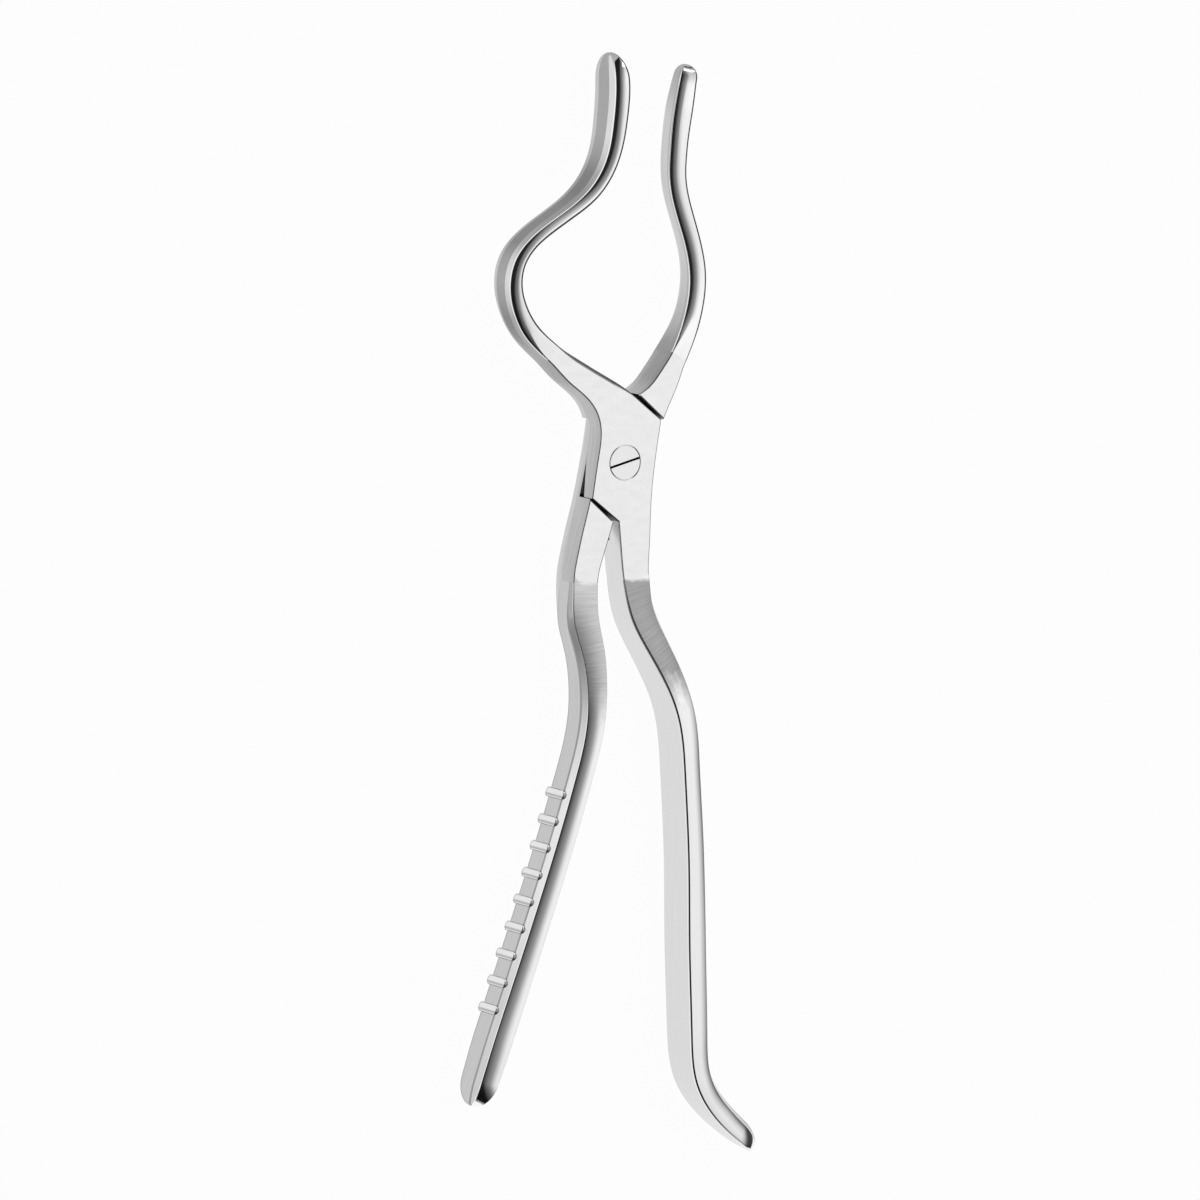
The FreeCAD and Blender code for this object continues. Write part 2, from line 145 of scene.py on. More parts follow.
# Materials of an arm's ten sides, from the near flank over the front, and of the corners before them
HANDLE_SIDES = [
    INNER_FLANK, BAND, BAND, UPPER_FACET, MIDDLE_FACET, LOWER_FACET, BAND, BAND, INNER_FLANK, INNER_FLANK]
# The corners between the outer facets, the facet lines, are painted darker as shade in the creases
HANDLE_CORNERS = [INNER_FLANK, BAND, BAND, BAND, FACET_LINE, FACET_LINE, BAND, BAND, BAND, INNER_FLANK]
BLADE_SIDES = [
    BLADE_UPPER, BLADE_BAND, BLADE_BAND, BLADE_UPPER, BLADE_MIDDLE, BLADE_LOWER, BLADE_BAND, BLADE_BAND,
    BLADE_LOWER, BLADE_MIDDLE]
# The corner before the far ridge, the inner edge, is painted near black as a dark reflection line
BLADE_CORNERS = [
    BLADE_UPPER, BLADE_BAND, BLADE_BAND, INNER_EDGE, BLADE_UPPER, BLADE_UPPER, BLADE_BAND, BLADE_BAND,
    BLADE_BAND, BLADE_LOWER]


def plane_vector(angle):
    return np.array([math.cos(math.radians(angle)), math.sin(math.radians(angle))])


def unit(v):
    return v / np.maximum(np.linalg.norm(v, axis=-1, keepdims=True), 1e-12)


def blend(a, b, share):
    return a + (b - a) * share


def travelled_along(line):
    """Length along a line at each of its points."""
    return np.concatenate([[0.0], np.cumsum(np.linalg.norm(np.diff(line, axis=0), axis=1))])


def at_height(plan, z):
    """Plan points or vectors with a third coordinate."""
    return np.column_stack([plan, np.full(len(plan), z)])


class Spline:
    """Cubic curve through plan points, by length along the chords. Given end slopes are kept."""

    def __init__(self, points, start=None, end=None):
        self.p = np.array(points, float)
        n = len(self.p)
        self.t = travelled_along(self.p)
        h = np.diff(self.t)
        a = np.zeros((n, n))
        b = np.zeros((n, 2))
        slopes = np.diff(self.p, axis=0) / h[:, None]
        for i in range(1, n - 1):
            a[i, i - 1:i + 2] = h[i - 1], 2 * (h[i - 1] + h[i]), h[i]
            b[i] = 6 * (slopes[i] - slopes[i - 1])
        a[0, 0] = a[-1, -1] = 1.0
        if start is not None:
            a[0, :2] = 2 * h[0], h[0]
            b[0] = 6 * (slopes[0] - np.array(start))
        if end is not None:
            a[-1, -2:] = h[-1], 2 * h[-1]
            b[-1] = 6 * (np.array(end) - slopes[-1])
        self.m = np.linalg.solve(a, b)
        self.length = self.t[-1]

    def __call__(self, s):
        s = np.atleast_1d(np.asarray(s, float))
        i = np.clip(np.searchsorted(self.t, s, side="right") - 1, 0, len(self.t) - 2)
        h = (self.t[i + 1] - self.t[i])[:, None]
        u = (s - self.t[i])[:, None]
        v = h - u
        return (
            self.m[i] * v**3 / (6 * h) + self.m[i + 1] * u**3 / (6 * h)
            + (self.p[i] / h - self.m[i] * h / 6) * v + (self.p[i + 1] / h - self.m[i + 1] * h / 6) * u
        )

    def slope(self, s):
        s = np.atleast_1d(np.asarray(s, float))
        lo, hi = np.maximum(s - SLOPE_STEP, 0), np.minimum(s + SLOPE_STEP, self.length)
        return (self(hi) - self(lo)) / (hi - lo)[:, None]


def monotone(xs, ys, x):
    """Values at x of a smooth curve through the points that makes no overshoot."""
    xs, ys = np.array(xs, float), np.array(ys, float)
    d = np.diff(ys) / np.diff(xs)
    before, after = d[:-1], d[1:]
    inner = np.where(before * after <= 0, 0, 2 * before * after / (before + after + 1e-12))
    m = np.concatenate([[d[0]], inner, [d[-1]]])
    i = np.clip(np.searchsorted(xs, x, side="right") - 1, 0, len(xs) - 2)
    h = xs[i + 1] - xs[i]
    t = (x - xs[i]) / h
    return (
        (2 * t**3 - 3 * t**2 + 1) * ys[i] + (t**3 - 2 * t**2 + t) * h * m[i]
        + (3 * t**2 - 2 * t**3) * ys[i + 1] + (t**3 - t**2) * h * m[i + 1]
    )


def rounded_loop(corners, radii, bows):
    """Points, normals and side numbers of a closed outline with rounded corners and arched sides.

    A point on the rounding before side k has the number of corners plus k."""
    n = len(corners)
    corners = [np.array(c, float) for c in corners]
    sides = [corners[(k + 1) % n] - corners[k] for k in range(n)]
    spans = [np.linalg.norm(s) for s in sides]

    def on_side(k, t):
        along = unit(sides[k])
        out = np.array([-along[1], along[0]])
        point = corners[k] + sides[k] * t + out * (bows[k] * 4 * t * (1 - t))
        slope = bows[k] * 4 * (1 - 2 * t) / spans[k]
        return point, unit(along + out * slope), unit(out - along * slope)

    reach = []
    for k in range(n):
        turn = math.acos(max(-1.0, min(1.0, float(unit(sides[k - 1]) @ unit(sides[k])))))
        reach.append(min(radii[k] * math.tan(turn / 2), 0.47 * spans[k - 1], 0.47 * spans[k]))
    points, normals, tags = [], [], []
    for k in range(n):
        p, along_p, out_p = on_side(k - 1, 1 - reach[k] / spans[k - 1])
        q, along_q, out_q = on_side(k, reach[k] / spans[k])
        bend = along_p[0] * along_q[1] - along_p[1] * along_q[0]
        gap = q - p
        meet = (p + q) / 2
        if abs(bend) > 0.03:
            meet = p + along_p * ((gap[0] * along_q[1] - gap[1] * along_q[0]) / bend)
        for i in range(CORNER_STEPS + 1):
            t = i / CORNER_STEPS
            points.append((1 - t) ** 2 * p + 2 * t * (1 - t) * meet + t * t * q)
            normals.append(unit(out_p * (1 - t) + out_q * t))
            tags.append(n + k if i < CORNER_STEPS else k)
        first, last = reach[k] / spans[k], 1 - reach[(k + 1) % n] / spans[k]
        steps = ARCH_STEPS if bows[k] else 2
        for i in range(1, steps):
            point, _, normal = on_side(k, blend(first, last, i / steps))
            points.append(point)
            normals.append(normal)
            tags.append(k)
    return np.array(points), np.array(normals), np.array(tags)


def section(thickness, depth, profile):
    """Loop of an arm's section as (out, up) points, with normals and the number of each point's side."""
    near_width = min(profile.near_width, 0.45 * thickness)
    top = depth - max(-profile.drop, 0.0)
    ridge = depth - min(max(profile.drop, 0.0), 0.3 * depth)
    facet = profile.facet_share * depth
    upper = [
        (-profile.near_rise, facet), (0, depth - profile.near_height), (near_width, top), (thickness, ridge),
        (thickness + profile.far_rise, facet),
    ]
    corners = upper + [(x, -y) for x, y in reversed(upper)]
    radii = [NEAR_FACET_ROUND, NEAR_EDGE_ROUND, profile.near_round, profile.far_round, FAR_FACET_ROUND]
    bows = [0.0, profile.near_crown, profile.crown, 0.0, 0.0]
    bows += [0.0, profile.crown, profile.near_crown, 0.0, 0.0]
    return rounded_loop(corners, radii + radii[::-1], bows)


class Arm:
    """One arm along its edge line. side is 1 when the arm lies on the right of that line.

    tip is the length of the rounded tip. tip_lean says how far the tip lies towards the far flank, as a
    share of what its thickness loses."""

    def __init__(self, stations, root, reach, profile, side, tip=None, tip_lean=0.5):
        self.stations = np.array(stations, float)
        self.stations[:, 1] = root + (reach - root) * self.stations[:, 1]
        self.profile = profile
        self.side = side
        self.tip = tip or self.stations[-1, 3] * TIP_LENGTH
        self.tip_lean = tip_lean
        self.line = Spline(self.stations[:, :2])

    def across(self, s):
        t = unit(self.line.slope(s))
        return np.stack([t[:, 1], -t[:, 0]], axis=1) * self.side

    def thickness(self, s):
        return monotone(self.line.t, self.stations[:, 2], np.atleast_1d(s))

    def half_depth(self, s):
        return monotone(self.line.t, self.stations[:, 3], np.atleast_1d(s))

    def near(self, s):
        return self.line(s)[0]

    def far(self, s):
        return (self.line(s) + self.across(s) * self.thickness(s)[:, None])[0]

    def grid(self):
        """Rings of points and normals along the arm, and where each point lies for the texture."""
        body_end = self.line.length - self.tip
        tip_reach = self.tip * TIP_REACH
        places = list(np.linspace(0, body_end, int(body_end / SECTION_STEP)))
        places += [body_end + tip_reach * math.sin(TIP_TURN * i / TIP_STEPS) for i in range(1, TIP_STEPS + 1)]
        rings, flats, girth = [], [], []
        for s in places:
            into = max(0.0, (s - body_end) / tip_reach)
            keep = math.sqrt(1 - into * into)
            thickness = float(self.thickness(s)[0])
            mix = max(0.0, min(1.0, s / ROOT_BLEND))
            mix = mix * mix * (3 - 2 * mix)
            depth = (float(self.half_depth(s)[0]) - TOP_TRIM * mix) * keep
            slim = thickness * blend(TIP_SLIMMEST, 1.0, keep)
            profile = [blend(a, b, mix) for a, b in zip(ROOT_PROFILE, self.profile)]
            loop, normal, tags = section(slim, depth, Profile(*[v * keep for v in profile[:-1]], profile[-1]))
            out = self.across(s)[0]
            start = self.line(s)[0] + out * ((thickness - slim) * self.tip_lean)
            rings.append(np.column_stack([start + loop[:, :1] * out, loop[:, 1]]))
            flats.append(np.column_stack([normal[:, :1] * out, normal[:, 1]]))
            girth.append(travelled_along(loop))
        rings, flats, girth = np.array(rings), np.array(flats), np.array(girth)
        along = unit(np.gradient(rings, axis=0))
        normals = unit(flats - along * np.sum(flats * along, axis=-1, keepdims=True))
        return rings, normals, np.array(places), girth, tags


class Shell:
    """Collects faces with their own normals and texture places, and makes one mesh of them."""

    def __init__(self):
        self.points, self.normals, self.places, self.faces, self.slots = [], [], [], [], []

    def add(self, points, normals, places, faces, slots):
        start = len(self.points)
        self.points += [tuple(p) for p in points]
        self.normals += [tuple(n) for n in normals]
        self.places += [tuple(p) for p in places]
        self.faces += [tuple(start + i for i in face) for face in faces]
        self.slots += slots if isinstance(slots, list) else [slots] * len(faces)

    def add_grid(self, rings, normals, places, slots, closed=False):
        """Faces between neighbouring rings. slots is one number, or an array by row or by column."""
        rows, columns = rings.shape[:2]
        width = columns if closed else columns - 1
        points, flats = rings.reshape(-1, 3), normals.reshape(-1, 3)
        faces = []
        for r in range(rows - 1):
            for c in range(width):
                d = (c + 1) % columns
                quad = (r * columns + c, r * columns + d, (r + 1) * columns + d, (r + 1) * columns + c)
                a, b, e = points[list(quad[:3])]
                facing = np.cross(b - a, e - a) @ flats[quad[0]]
                faces.append(quad if facing > 0 else quad[::-1])
        slots = np.broadcast_to(slots, (rows - 1, width)).ravel().tolist()
        self.add(points, flats, places.reshape(-1, 2), faces, slots)

    def add_arm(self, arm, sides, corners):
        rings, normals, places, girth, tags = arm.grid()
        columns = girth.shape[1]
        uv = np.stack([np.repeat(places[:, None], columns, axis=1), girth], axis=-1)
        self.add_grid(rings, normals, uv, np.array(sides + corners)[tags], closed=True)
        tip_normal = unit(rings[-1].mean(axis=0) - rings[-2].mean(axis=0))
        cap = list(range(columns))
        a, b, c = rings[-1][[0, columns // 3, 2 * columns // 3]]
        if np.cross(b - a, c - a) @ tip_normal < 0:
            cap = cap[::-1]
        self.add(rings[-1], [tip_normal] * columns, uv[-1], [cap], sides[2])

    def build(self, name, materials):
        mesh = bpy.data.meshes.new(name)
        lifted = [(x * MM, y * MM, (z + HALF_JOINT) * MM) for x, y, z in self.points]
        mesh.from_pydata(lifted, [], self.faces)
        layer = mesh.uv_layers.new(name="UVMap")
        loop_points = np.zeros(len(mesh.loops), int)
        mesh.loops.foreach_get("vertex_index", loop_points)
        layer.data.foreach_set("uv", (np.array(self.places)[loop_points] / UV_LENGTH).ravel())
        for material in materials:
            mesh.materials.append(material)
        mesh.polygons.foreach_set("material_index", self.slots)
        mesh.polygons.foreach_set("use_smooth", [True] * len(mesh.polygons))
        mesh.normals_split_custom_set_from_vertices(self.normals)
        mesh.update()
        obj = bpy.data.objects.new(name, mesh)
        bpy.context.scene.collection.objects.link(obj)
        return obj


def run(points, curved=False, start=None, end=None):
    """A stretch of outline as plan points with the normals on its right-hand side."""
    if not curved:
        ends = np.array(points, float)
        steps = max(2, int(np.linalg.norm(ends[1] - ends[0]) / SECTION_STEP))
        line = np.linspace(ends[0], ends[1], steps + 1)
        t = np.repeat(unit(ends[1] - ends[0])[None], steps + 1, axis=0)
    else:
        spline = Spline(points, start, end)
        s = np.linspace(0, spline.length, int(spline.length / SECTION_STEP * 1.5) + 2)
        line, t = spline(s), unit(spline.slope(s))
    return line, np.stack([t[:, 1], -t[:, 0]], axis=1)


def clip(runs, normal, distance):
    """The part of a closed outline beyond a straight line, closed by a run along that line."""
    pieces = []
    for k, (line, side) in enumerate(runs):
        height = line @ normal - distance
        for i in range(len(line) - 1):
            a, b = height[i], height[i + 1]
            if a < 0 and b < 0:
                pieces.append(None)
                continue
            p, q = line[i], line[i + 1]
            start = p + (q - p) * (-a / (b - a)) if a < 0 else p
            stop = p + (q - p) * (a / (a - b)) if b < 0 else q
            pieces.append((k, start, stop, side[i], side[i + 1]))
    count = len(pieces)
    before = next(i for i in range(count) if pieces[i] is None and pieces[(i + 1) % count] is not None)
    kept, current = [], None
    for piece in pieces[before + 1:] + pieces[:before + 1]:
        if piece is None:
            break
        k, start, stop, start_side, stop_side = piece
        if k != current:
            kept.append(([start], [start_side]))
            current = k
        kept[-1][0].append(stop)
        kept[-1][1].append(stop_side)
    kept = [(np.array(points), np.array(sides)) for points, sides in kept]
    return kept + [run([kept[-1][0][-1], kept[0][0][0]])]


def slide(fixed, moved):
    """Move along the line of a fixed edge that takes the other edge in by one unit, from their normals."""
    t = np.array([-fixed[1], fixed[0]])
    lean = moved @ t
    return t * lean / max(abs(lean), 1e-6) / max(abs(lean), 0.3)


def run_offsets(runs, open_runs):
    """For each run, how its points move when the outline, but for its open runs, shrinks by one unit."""
    count = len(runs)
    offsets = []
    for k, (_, side) in enumerate(runs):
        offset = side * float(k not in open_runs)
        for end, other, other_end in ((0, (k - 1) % count, -1), (-1, (k + 1) % count, 0)):
            here, there = side[end], runs[other][1][other_end]
            if k in open_runs:
                offset[end] = 0 if other in open_runs else slide(here, there)
            elif other in open_runs:
                offset[end] = slide(there, here)
            else:
                offset[end] = (here + there) / max(1 + here @ there, 0.35)
        offsets.append(offset)
    return offsets


def bow_growth(line):
    """How much wider the edge is rounded at each point of the run along the bowed blade's side."""
    y = line[:, 1:]
    share = np.minimum(y - BOW_EDGE_START, y.max() - y) / BOW_EDGE_FADE
    return 1 + np.clip(share, 0, 1) * BOW_EDGE_GROWTH


def add_relief(shell, line, side, offset, low):
    """Slanted face where the lap edge is taken off, painted near black as shade. Gives the wall's foot and
    the edge on the lap face.
    """
    share = (RELIEF_START - line[:, 1]) / (RELIEF_START - line[:, 1].min())
    size = np.clip(share, 0, 1) * RELIEF_SIZE
    wall_foot = np.column_stack([line, low + size])
    edge = line - offset * size[:, None]
    taken = np.nonzero(size > 0)[0]
    part = slice(max(taken.min() - 1, 0), taken.max() + 1)
    cut = np.array([at_height(edge, low)[part], wall_foot[part]])
    shell.add_grid(cut, unit(np.array([at_height(side, -1.0)[part]] * 2)), cut[:, :, :2], CREVICE_SHADE)
    return wall_foot, edge


def plate(shell, runs, low, high, broken, open_runs, hole=0.0, far_hole=0.0, relieved=None, bow=None,
          neck_slot=WALL):
    """Flat plate over a closed outline, its edges rounded on top where broken is 1 and below where it is -1.

    open_runs are the runs that meet an arm and have no wall. hole and far_hole are the radii in the rounded
    face and in the one behind it. relieved and bow number the runs with the relief and the wider edge."""
    offsets = run_offsets(runs, open_runs)
    far_z, near_z = (low, high) if broken > 0 else (high, low)
    near_rim, far_rim = [], []
    travelled = 0.0
    for k, (line, side) in enumerate(runs):
        offset = offsets[k]
        growth = bow_growth(line) if k == bow else 1.0
        near_rim.append((line - offset * EDGE_BREAK * growth)[:-1])
        edge = line
        if k not in open_runs:
            rows, flats = [at_height(line, far_z)], [at_height(side, 0.0)]
            for i in range(EDGE_STEPS + 1):
                angle = math.pi / 2 * i / EDGE_STEPS
                inset, below = EDGE_BREAK * (1 - math.cos(angle)), EDGE_BREAK * (1 - math.sin(angle))
                rows.append(at_height(line - offset * inset * growth, near_z - broken * below))
                flats.append(at_height(side * math.cos(angle), broken * math.sin(angle)))
            if k == relieved:
                rows[0], edge = add_relief(shell, line, side, offset, low)
            rings, normals = np.array(rows), unit(np.array(flats))
            length = travelled + travelled_along(line)
            up = travelled_along(rings[:, 0])
            uv = np.stack(np.broadcast_arrays(length[None], up[:, None]), axis=-1)
            is_neck = line[:, 1].mean() < NECK_START and side[:, 0].mean() < -0.5
            slots = np.full((len(rows) - 1, 1), neck_slot if is_neck else WALL)
            # Straight walls, the shoulders, are painted near black as shade in the gaps: the upright wall,
            # and on the front plate also most of its rounded edge
            if np.abs(side - side[0]).max() < 1e-6:
                slots[:-1 if hole else 1] = CREVICE_SHADE
            shell.add_grid(rings, normals, uv, slots)
        far_rim.append(edge[:-1])
        travelled += travelled_along(line)[-1]
    add_flat(shell, np.concatenate(near_rim), near_z, broken, hole, FACE)
    add_flat(shell, np.concatenate(far_rim), far_z, -broken, far_hole, INNER_FLANK)


def add_flat(shell, outline, z, up, hole, slot):
    """Flat face over a closed outline, with a round hole about the pivot where its radius is given."""
    loops = [[Vector((x, y, 0)) for x, y in outline]]
    if hole:
        turns = np.linspace(0, 2 * math.pi, 64, endpoint=False)
        loops.append([Vector((hole * math.cos(a), hole * math.sin(a), 0)) for a in turns])
    flat = [p for loop in loops for p in loop]
    faces = []
    for a, b, c in tessellate_polygon(loops):
        turn = (flat[b] - flat[a]).cross(flat[c] - flat[a]).z
        if abs(turn) > 1e-9:
            faces.append((a, b, c) if turn * up > 0 else (a, c, b))
    plan = [(p.x, p.y) for p in flat]
    shell.add([(x, y, z) for x, y in plan], [(0, 0, up)] * len(plan), plan, faces, slot)


def shoulder(angle, distance, along):
    """Point on a line that faces an angle at a distance from the pivot, moved along the line."""
    return plane_vector(angle) * distance + plane_vector(angle + 90) * along


def ring_wall(shell, low_radius, low, high_radius, high, slot):
    """Round wall of a hole, or its broken rim."""
    a = np.linspace(0, 2 * math.pi, 97)
    circle = np.stack([np.cos(a), np.sin(a)], axis=1)
    rings = np.array([at_height(circle * low_radius, low), at_height(circle * high_radius, high)])
    lean = (high_radius - low_radius) / (high - low)
    normals = np.array([unit(at_height(-circle, lean))] * 2)
    uv = np.stack([np.repeat((a * low_radius)[None], 2, axis=0), rings[:, :, 2]], axis=-1)
    shell.add_grid(rings, normals, uv, slot)


def grip_bar(shell, handle, share):
    """Domed bar with round ends across the flank of the handle."""
    y = HANDLE_ROOT + (REAR_HANDLE_REACH - HANDLE_ROOT) * share
    s = np.linspace(0, handle.line.length, 4000)
    place = s[np.argmin(np.abs(handle.line(s)[:, 1] - y))]
    out = handle.across(place)[0]
    along = np.array([-out[1], out[0]])
    foot = handle.far(place) + out * handle.profile.far_rise
    straight = BAR_HALF_LENGTH - BAR_WIDTH / 2
    a = np.linspace(0, 2 * math.pi, 49)
    circle = np.stack([np.cos(a), np.sin(a)], axis=1)
    levels = [(1.0, BAR_SUNK), (1.0, BAR_FOOT)]
    levels += [(math.cos(t), blend(BAR_FOOT, 1.0, math.sin(t))) for t in np.linspace(0, math.pi / 2, 10)]
    rings, normals, spots = [], [], []
    for keep, rise in levels:
        is_top = rise > 0.999
        radius = BAR_WIDTH / 2 * (keep if is_top else 1 - BAR_ROUND * (1 - keep))
        across = circle[:, 0] * radius
        up = circle[:, 1] * radius + np.where(circle[:, 1] > 0, straight, -straight)
        plan = foot + along * across[:, None] + out * (BAR_HEIGHT * rise)
        rings.append(np.column_stack([plan, up + BAR_SHIFT]))
        spots.append(np.column_stack([across, up]))
        lean = max(rise - BAR_FOOT, 0.0) / (1 - BAR_FOOT)
        tilt = circle * math.sqrt(1 - lean * lean)
        normals.append(np.column_stack([along * tilt[:, :1] + out * lean, tilt[:, 1]]))
    rings, normals, spots = np.array(rings), unit(np.array(normals)), np.array(spots)
    # The bar's upright foot is painted darker as shade where it meets the flank
    shell.add_grid(rings[:2], normals[:2], spots[:2], FACET_LINE)
    shell.add_grid(rings[2:], normals[2:], spots[2:], BAR)


def plan_points(edge):
    """Plan points of an edge given by x and share."""
    return [np.array((x, share * (BLADE_ROOT if share > 0 else -HANDLE_ROOT))) for x, share in edge]


def front_outline(blade, handle):
    upper = SHOULDER_ANGLE + REST_OPENING
    above = [shoulder(upper, FRONT_UPPER - FRONT_UPPER_GAP, v) for v in FRONT_UPPER_SPAN]
    left_corner, lower_crotch = [shoulder(upper + 180, LOWER - LOWER_GAP, v) for v in FRONT_LOWER_SPAN]
    b0, b1, h0, h1 = blade.near(0), blade.far(0), handle.near(0), handle.far(0)
    return [
        run([b0, *plan_points(FRONT_OUTER_EDGE), left_corner], True, unit(b0 - blade.near(SLOPE_STEP))),
        run([left_corner, lower_crotch]),
        run([lower_crotch, *plan_points(FRONT_NECK_EDGE), h0], True, end=unit(handle.near(SLOPE_STEP) - h0)),
        run([h0, h1]),
        run([h1, *plan_points(FRONT_RIGHT_EDGE), above[0]], True, unit(h1 - handle.far(SLOPE_STEP))),
        run([*above, *plan_points(FRONT_BOW_EDGE), b1], True, end=unit(blade.far(SLOPE_STEP) - b1)),
        run([b1, b0]),
    ]


def rear_outline(blade, handle):
    upper = 180 - SHOULDER_ANGLE
    left_corner, crotch = [shoulder(upper, REAR_UPPER - REAR_UPPER_GAP, v) for v in REAR_UPPER_SPAN]
    right_corner, lower_crotch = [shoulder(upper + 180, LOWER - LOWER_GAP, v) for v in REAR_LOWER_SPAN]
    b0, b1, h0, h1 = blade.near(0), blade.far(0), handle.near(0), handle.far(0)
    inner = [b0, *plan_points(REAR_INNER_EDGE)]
    neck = [h0, *plan_points(REAR_NECK_EDGE)]
    return [
        run(inner, True, unit(b0 - blade.near(SLOPE_STEP))),
        run([inner[-1], crotch]),
        run([crotch, left_corner]),
        run([left_corner, *plan_points(REAR_LEFT_EDGE), h1], True, end=unit(handle.far(SLOPE_STEP) - h1)),
        run([h1, h0]),
        run(neck, True, unit(h0 - handle.near(SLOPE_STEP))),
        run([neck[-1], lower_crotch]),
        run([lower_crotch, right_corner]),
        run([right_corner, *plan_points(REAR_RIGHT_EDGE), b1], True, end=unit(blade.far(SLOPE_STEP) - b1)),
        run([b1, b0]),
    ]


def wind(runs):
    """Turns the outline so that every normal points out of it."""
    points = np.concatenate([line[:-1] for line, _ in runs])
    x, y = points[:, 0], points[:, 1]
    area = np.sum(x * np.roll(y, -1) - np.roll(x, -1) * y)
    if area > 0:
        return runs
    return [(line[::-1], -side[::-1]) for line, side in reversed(runs)]


def arm_ends(*arms):
    return [(arm.near(0), arm.far(0)) for arm in arms]


def root_runs(runs, ends):
    """Numbers of the outline's runs that lie along the first section of an arm."""
    def joins(line, a, b):
        return np.linalg.norm(line[0] - a) + np.linalg.norm(line[-1] - b) < SAME_PLACE

    both_ways = list(ends) + [(b, a) for a, b in ends]
    return [i for i, (line, _) in enumerate(runs) if any(joins(line, a, b) for a, b in both_ways)]


def run_past(runs, point):
    """Number of the run that comes nearest to a plan point."""
    return min(range(len(runs)), key=lambda i: np.linalg.norm(runs[i][0] - point, axis=1).min())


def node_value(tree, kind, **inputs):
    """New node with its inputs set by name."""
    node = tree.nodes.new(kind)
    for key, value in inputs.items():
        node.inputs[key.replace("_", " ")].default_value = value
    return node


def link(tree, source, target):
    tree.links.new(source, target)


def scaled_noise(tree, vector, scale, detail, roughness):
    """Noise stretched by a scale along each texture direction."""
    stretch = tree.nodes.new("ShaderNodeMapping")
    stretch.inputs["Scale"].default_value = (scale[0], scale[1], 1)
    link(tree, vector, stretch.inputs["Vector"])
    noise = node_value(tree, "ShaderNodeTexNoise", Scale=1.0, Detail=detail, Roughness=roughness)
    link(tree, stretch.outputs["Vector"], noise.inputs["Vector"])
    return noise.outputs["Fac"]


def ranged(tree, value, low, high, to_low, to_high):
    """Value between low and high brought between to_low and to_high, and held there beyond them."""
    node = tree.nodes.new("ShaderNodeMapRange")
    for name, number in (("From Min", low), ("From Max", high), ("To Min", to_low), ("To Max", to_high)):
        node.inputs[name].default_value = number
    link(tree, value, node.inputs["Value"])
    return node.outputs["Result"]


def spread(tree, noise, low, high):
    """Noise stretched to run about from low to high."""
    return ranged(tree, noise, 0.3, 0.7, low, high)


def mixed(tree, share, a, b):
    """Number between a and b, each a number or a socket."""
    node = tree.nodes.new("ShaderNodeMix")
    link(tree, share, node.inputs[0])
    for socket, value in ((node.inputs[2], a), (node.inputs[3], b)):
        if isinstance(value, float):
            socket.default_value = value
        else:
            link(tree, value, socket)
    return node.outputs[0]


def calculated(tree, operation, a, b):
    """Sum, product or the like of a and b, each a number or a socket."""
    node = tree.nodes.new("ShaderNodeMath")
    node.operation = operation
    for socket, value in ((node.inputs[0], a), (node.inputs[1], b)):
        if isinstance(value, float):
            socket.default_value = value
        else:
            link(tree, value, socket)
    return node.outputs[0]


def toned(tree, place, tones):
    """Level by place from (mm, level) pairs."""
    ramp = tree.nodes.new("ShaderNodeValToRGB")
    first, last = tones[0][0], tones[-1][0]
    stops = ramp.color_ramp.elements
    for mm, _ in tones[1:-1]:
        stops.new((mm - first) / (last - first))
    for stop, (_, level) in zip(stops, tones):
        stop.color = (level, level, level, 1)
    link(tree, ranged(tree, place, float(first), float(last), 0.0, 1.0), ramp.inputs["Fac"])
    return ramp.outputs["Color"]


